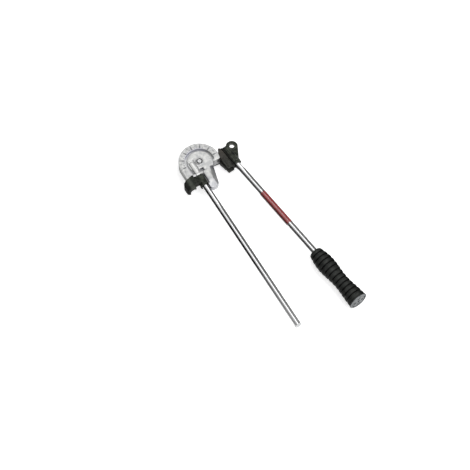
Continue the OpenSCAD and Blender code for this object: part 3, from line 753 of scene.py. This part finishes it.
inner_card = dict(y=lever_y - 38 * MM, top=50 * MM, tone=0.10)
outer_card = dict(y=lever_y + 24 * MM, top=90 * MM, tone=0.34)
cards = [
    card("card_fixed_left", unturned, 20 * MM, fixed_y - 45 * MM, 60 * MM, tone=0.02, end_tone=0.45),
    card("card_fixed_right", unturned, 80 * MM, fixed_y + 22 * MM, 85 * MM, tone=0.30, end_tone=0.55),
    card("card_lever_left", lever_turn, 20 * MM, **inner_card),
    card("card_lever_right", lever_turn, 50 * MM, **outer_card),
    card("card_swung_left", half_turned, 50 * MM, **inner_card),
    card("card_swung_right", half_turned, 50 * MM, **outer_card),
]
print("cards", [sheet.name for sheet in cards])

# %% [markdown]
# ## The grip's moulded surface
# The real grip is one rubber moulding with soft, rounded lands between narrow grooves, rolled in at both ends. It
# could be bevelled rings, but one surface is truer: the radius is a function of the distance along the grip and of
# the angle round it. The envelope swells for the palm, narrows, and flares at the end.

# %% Surface helpers
merge_gap, crease_deg = 1e-7, 35.0


def closed_piece(name, work):
    """A piece from working geometry: doubled points merge, so seams and poles close, and faces turn outwards."""
    bmesh.ops.remove_doubles(work, verts=work.verts, dist=merge_gap)
    bmesh.ops.recalc_face_normals(work, faces=work.faces)
    mesh = bpy.data.meshes.new(name)
    work.to_mesh(mesh)
    work.free()
    mesh.polygons.foreach_set("use_smooth", np.ones(len(mesh.polygons), bool))
    mesh.set_sharp_from_angle(angle=np.radians(crease_deg))
    made = bpy.data.objects.new(name, mesh)
    scene.collection.objects.link(made)
    return made


def faced(points, faces):
    """Working geometry from an array of points and an array of faces."""
    rough_mesh = bpy.data.meshes.new("rough")
    rough_mesh.from_pydata(points.reshape(-1, 3).tolist(), [], faces.tolist())
    work = bmesh.new()
    work.from_mesh(rough_mesh)
    bpy.data.meshes.remove(rough_mesh)
    return work


def surface(name, points, ring=False):
    """A piece from a grid of points, shape (rows, columns, 3): columns run round, and a ring's rows do too."""
    rows, cols = points.shape[:2]
    index = np.arange(rows * cols).reshape(rows, cols)
    lower = index if ring else index[:-1]
    upper = np.roll(index, -1, axis=0) if ring else index[1:]
    quads = np.stack([lower, np.roll(lower, -1, axis=1), np.roll(upper, -1, axis=1), upper], axis=-1)
    return closed_piece(name, faced(points, quads.reshape(-1, 4)))


def round_angles(columns):
    """Even angles round a circle, without the last, which would repeat the first."""
    return np.linspace(0, 2 * np.pi, columns, endpoint=False)


def on_lever(points):
    """Points of the lever's own frame, turned to where the lever rests."""
    turned_points = points.copy()
    turned_points[..., :2] = points[..., :2] @ lever_turn.T
    return turned_points


print("surface helpers", [helper.__name__ for helper in (closed_piece, faced, surface, round_angles, on_lever)])

# %% Grip envelope
grip_x, grip_len, tube_r = 285 * MM, 124 * MM, 6.37 * MM
start_r, swell_r, waist_r, end_r = 12.6 * MM, 17.6 * MM, 14.5 * MM, 18.0 * MM
swell_x, waist_x = 33 * MM, 76 * MM


def eased(a, b, t):
    """From a to b along half a cosine, while t runs from 0 to 1."""
    return (a + b) / 2 - (b - a) / 2 * np.cos(np.pi * np.clip(t, 0, 1))


def grip_envelope(x):
    """A quarter sine up to the swell, then half cosines down to the waist and out to the end."""
    rise = start_r + (swell_r - start_r) * np.sin(np.pi / 2 * np.clip(x / swell_x, 0, 1))
    fall = eased(swell_r, waist_r, (x - swell_x) / (waist_x - swell_x))
    flare = eased(waist_r, end_r, (x - waist_x) / (grip_len - waist_x))
    return np.where(x < swell_x, rise, np.where(x < waist_x, fall, flare))


print("grip", round(2 * swell_r / MM, 1), "mm thick at the swell and", round(2 * waist_r / MM, 1), "at the waist")

# %% Grip
land_count, rows_per_land, grip_columns = 13, 22, 112
groove_depth, groove_half, crown_h = 1.9 * MM, 1.35 * MM, 0.5 * MM
start_roll, start_roll_len, end_roll, end_roll_len = 1.6 * MM, 1.1 * MM, 0.5 * MM, 0.7 * MM
seam_h, seam_half = 0.12 * MM, 0.035
lip_len, lip_mid, lip_half, lip_rows = 2.5 * MM, 17.6 * MM, 1.2 * MM, 13


def grip_surface():
    """Envelope less a narrow bell-shaped groove at each pitch, with crowned lands and two faint mould seams.

    Past the last land a lip rolls over the cap's neck. The first and last rows are the bore's edges, so that the
    last row joins the first along the bore."""
    pitch = grip_len / land_count
    x = np.linspace(0, grip_len, land_count * rows_per_land + 1)
    from_groove = np.abs((x / pitch + 0.5) % 1 - 0.5) * pitch
    bell = np.exp(-((from_groove / groove_half) ** 4))
    rolls = start_roll * np.exp(-x / start_roll_len) + end_roll * np.exp(-(grip_len - x) / end_roll_len)
    inner = (x > pitch / 2) & (x < grip_len - pitch / 2)
    crown = crown_h * (np.sin(np.pi / 2 * from_groove / (pitch / 2)) - 1)
    radius = grip_envelope(x) - groove_depth * bell * inner + np.where(inner, crown, 0) - rolls
    around = round_angles(grip_columns)
    seam = seam_h * np.exp(-((np.sin(around) / seam_half) ** 2))
    roll = np.linspace(0, np.pi, lip_rows)
    lip_r = np.concatenate([lip_mid + lip_half * np.cos(roll), [lip_mid - lip_half, tube_r]])
    lip_x = np.concatenate([lip_len * (0.5 + 0.5 * np.sin(roll)), [0, 0]])
    bore = np.full((1, grip_columns), tube_r)
    radius = np.vstack([bore, radius[:, None] + seam, lip_r[:, None] * np.ones(grip_columns)])
    distance = grip_x + np.concatenate([[0], x, grip_len + lip_x])
    y = lever_y + radius * np.cos(around)
    z = radius * np.sin(around)
    return on_lever(np.stack([np.broadcast_to(distance[:, None], y.shape), y, z], axis=-1))


grip = surface("grip_moulding", grip_surface(), ring=True)
grip.data.materials.append(grip_rubber)
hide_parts("lever_grip")
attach(grip, "lever")
print("grip", len(grip.data.polygons), "faces")

# %% [markdown]
# ## The grip's end cap
# The cap's neck sits inside the rubber's lip, and its rolled rim covers the lip. Inside the rim are a sunk ring and
# a web with four pockets round a centre hole. A turned profile would give all but the pockets, so those are taken
# out of the face as a function of the radius and the angle.

# %% End cap
cap_x, cap_t, spigot_r, spigot_x = 409 * MM, 4 * MM, 4.73 * MM, 395 * MM
neck_r, cap_r, rim_x, rim_r_in, rim_rows = 16.3 * MM, 18.4 * MM, 2.55 * MM, 14.8 * MM, 9
web_r, web_rows, ring_sunk, web_sunk = 13.2 * MM, 48, 1.8 * MM, 0.4 * MM
hole_r, hole_deep, ease, ring_ease = 2.6 * MM, 2.6 * MM, 0.2 * MM, 0.3 * MM
pocket_deep, pocket_in, pocket_out, pocket_count = 2.2 * MM, 5.6 * MM, 11.2 * MM, 4
pocket_wall, pocket_share, pocket_side = 0.25 * MM, 0.1, 0.12
cap_columns, far_off = 144, 40.0


def soft_step(value, width):
    """1 / (1 + exp(-value / width)): 0 well below 0 and 1 well above it, with a smooth step of that width."""
    return 1 / (1 + np.exp(-np.clip(value / width, -far_off, far_off)))


def cap_surface():
    """Rows (radius, x): the spigot, back, neck, a quarter-ellipse rim, sunk ring, web and centre hole.

    On the web a pocket drops the face by depth * step(radius) * step(cos(count * angle))."""
    around = round_angles(cap_columns)
    roll = np.linspace(0, np.pi / 2, rim_rows)
    ring_x, web_x, hole_x = cap_t - ring_sunk, cap_t - web_sunk, cap_t - hole_deep
    back = [(0, spigot_x - cap_x), (spigot_r, spigot_x - cap_x), (spigot_r, 0), (neck_r, 0), (neck_r, rim_x)]
    rim_r = rim_r_in + (cap_r - rim_r_in) * np.cos(roll)
    rim = np.column_stack([rim_r, rim_x + (cap_t - rim_x) * np.sin(roll)])
    ring = [(rim_r_in - ease, ring_x), (web_r + ring_ease, ring_x)]
    web = np.column_stack([np.linspace(web_r, hole_r + ease, web_rows), np.full(web_rows, web_x)])
    hole = [(hole_r, web_x - ease), (hole_r, hole_x), (0, hole_x)]
    rows = np.vstack([back, rim, ring, web, hole])
    near = soft_step(rows[:, 0] - pocket_in, pocket_wall) * soft_step(pocket_out - rows[:, 0], pocket_wall)
    near *= rows[:, 1] == web_x
    facing_pocket = soft_step(np.cos(pocket_count * around) - pocket_share, pocket_side)
    drop = pocket_deep * near[:, None] * facing_pocket
    y = lever_y + rows[:, :1] * np.cos(around)
    z = rows[:, :1] * np.sin(around)
    return on_lever(np.stack([cap_x + rows[:, 1:] - drop, y, z], axis=-1))


cap = surface("cap_moulding", cap_surface())
cap.data.materials.append(cap_plastic)
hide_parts("grip_end_cap")
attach(cap, "lever")
print("cap", len(cap.data.polygons), "faces")

# %% [markdown]
# ## The scale
# The ring carries a scale of bend angles: it starts where the straight lead-in meets the ring, and runs round to
# 180 degrees. The marks are wedges of paint that start at the ring's inner edge and narrow outwards. The long ones
# stand at every 30 degrees, each with a plain number just before it. Cutting them into the casting would cost many
# faces for such thin lines.

# %% Scale marks
face_z, paint_t = 9.0 * MM, 0.05 * MM
zero_deg, scale_end, mark_step, number_step = 270.0, 180, 10, 30
mark_start, long_end, short_end = 29.2 * MM, 38.4 * MM, 32.2 * MM
long_w, short_w, tip_w = 3.0 * MM, 0.8 * MM, 0.5 * MM


def wedges(angles, ends, widths):
    """Flat wedges on the face, one per angle, from the ring's inner edge to their ends, where they are narrow.

    The eight corners of each come as whole arrays: radius and width by inner or outer end, height by layer."""
    turn = np.radians(zero_deg - angles)[:, None]
    is_outer = np.array([0, 1, 1, 0, 0, 1, 1, 0], bool)
    r = np.where(is_outer, ends[:, None], mark_start)
    side = np.array([-1, -1, 1, 1, -1, -1, 1, 1]) * np.where(is_outer, tip_w, widths[:, None]) / 2
    height = np.broadcast_to(face_z + np.array([-1, -1, -1, -1, 1, 1, 1, 1]) * paint_t, r.shape)
    x = r * np.cos(turn) - side * np.sin(turn)
    y = r * np.sin(turn) + side * np.cos(turn)
    return np.stack([x, y, height], axis=-1)


angles = np.arange(0, scale_end + 1, mark_step)
is_long = angles % number_step == 0
corners = wedges(angles, np.where(is_long, long_end, short_end), np.where(is_long, long_w, short_w))
sides = np.array([[3, 2, 1, 0], [4, 5, 6, 7], [0, 1, 5, 4], [1, 2, 6, 5], [2, 3, 7, 6], [3, 0, 4, 7]])
first_corner = corners.shape[1] * np.arange(len(angles))[:, None, None]
faces = (sides[None] + first_corner).reshape(-1, 4)
marks = closed_piece("scale_marks", faced(corners, faces))
marks.data.materials.append(mark_paint)
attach(marks, "former")
print("marks", len(angles))

# %% Scale numbers
number_r, number_size, number_before = 35.4 * MM, 4.2 * MM, 13.0


def figure_mesh(value):
    """A plain figure as a thin flat mesh, centred and upright."""
    words = bpy.data.curves.new("figure", "FONT")
    words.body, words.size, words.extrude = str(value), number_size, paint_t
    words.align_x, words.align_y = "CENTER", "CENTER"
    holder = bpy.data.objects.new("figure", words)
    scene.collection.objects.link(holder)
    bpy.context.view_layer.update()
    solid = bpy.data.meshes.new_from_object(holder.evaluated_get(bpy.context.evaluated_depsgraph_get()))
    bpy.data.objects.remove(holder)
    bpy.data.curves.remove(words)
    return solid


def figures(name, values):
    """Plain figures as thin raised paint, each a few degrees before its mark, with its top outwards.

    A point (across, up) of a figure goes to (radius + up) * outwards + across * sideways."""
    work = bmesh.new()
    for value in values:
        solid = figure_mesh(value)
        at = np.empty(len(solid.vertices) * 3)
        solid.vertices.foreach_get("co", at)
        at = at.reshape(-1, 3)
        turn = np.radians(zero_deg - value + number_before)
        outward = np.array([np.cos(turn), np.sin(turn)])
        sideways = np.array([np.sin(turn), -np.cos(turn)])
        flat = (number_r + at[:, 1:2]) * outward + at[:, :1] * sideways
        solid.vertices.foreach_set("co", np.column_stack([flat, face_z + at[:, 2]]).ravel())
        work.from_mesh(solid)
        bpy.data.meshes.remove(solid)
    return closed_piece(name, work)


numbers = figures("scale_numbers", range(0, scale_end + 1, number_step))
numbers.data.materials.append(mark_paint)
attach(numbers, "former")
print("numbers", len(numbers.data.polygons), "faces")

# %% [markdown]
# ## Screws with sockets
# Two countersunk screws hold the arm to the lever head. On the solids they are plain cones. Here each is a turned
# profile whose middle drops into a six-sided socket, worked out as one grid: rows run from the shank's end over the
# cone to the rim, and on inwards and down, where the socket's radius follows a hexagon round the axis.

# %% Arm screws
arm_back = -16.3 * MM
screw_spots = np.array([[7.0, 56.0], [19.0, 56.0]]) * MM
screw_r, shank_r, cone_h, screw_len = 4.4 * MM, 2.5 * MM, 1.9 * MM, 13.0 * MM
key_w, key_deep, screw_ease, screw_columns = 3.0 * MM, 2.2 * MM, 0.15 * MM, 48


def socket_screw(at):
    """Rows of (radius, height): shank end, cone, head face, then the socket, whose radius follows a hexagon.

    A hexagon's radius is half its key width over the cosine of the angle from the middle of the side."""
    around = round_angles(screw_columns)
    hexagon = 1 / np.cos((around + np.pi / 6) % (np.pi / 3) - np.pi / 6)
    turned_rows = np.array([
        (0, screw_len), (shank_r - 2 * screw_ease, screw_len), (shank_r, screw_len - 2 * screw_ease),
        (shank_r, cone_h), (screw_r, screw_ease), (screw_r, screw_ease / 2), (screw_r - screw_ease, 0),
    ])
    socket_rows = np.array([
        (key_w / 2 + screw_ease, 0), (key_w / 2, screw_ease), (key_w / 2, key_deep),
        (0, key_deep + 2 * screw_ease),
    ])
    radius = np.vstack([turned_rows[:, :1] * np.ones(screw_columns), socket_rows[:, :1] * hexagon])
    height = np.concatenate([turned_rows[:, 1], socket_rows[:, 1]])[:, None] + np.zeros(screw_columns)
    x, y = at[0] + radius * np.cos(around), at[1] + radius * np.sin(around)
    return on_lever(np.stack([x, y, arm_back + height], axis=-1))


for number, at in enumerate(screw_spots):
    screw = surface("arm_screw_%d" % (number + 1), socket_screw(at))
    screw.data.materials.append(dark_steel)
    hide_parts("arm_screws")
    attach(screw, "lever")
print("screws", len(screw_spots))

# %% [markdown]
# ## Close
# The box of the solids, taken before dressing, is printed.

# %% Sizes and finish
print("cad", [round(float(v) / MM, 1) for c in cad_box for v in c])
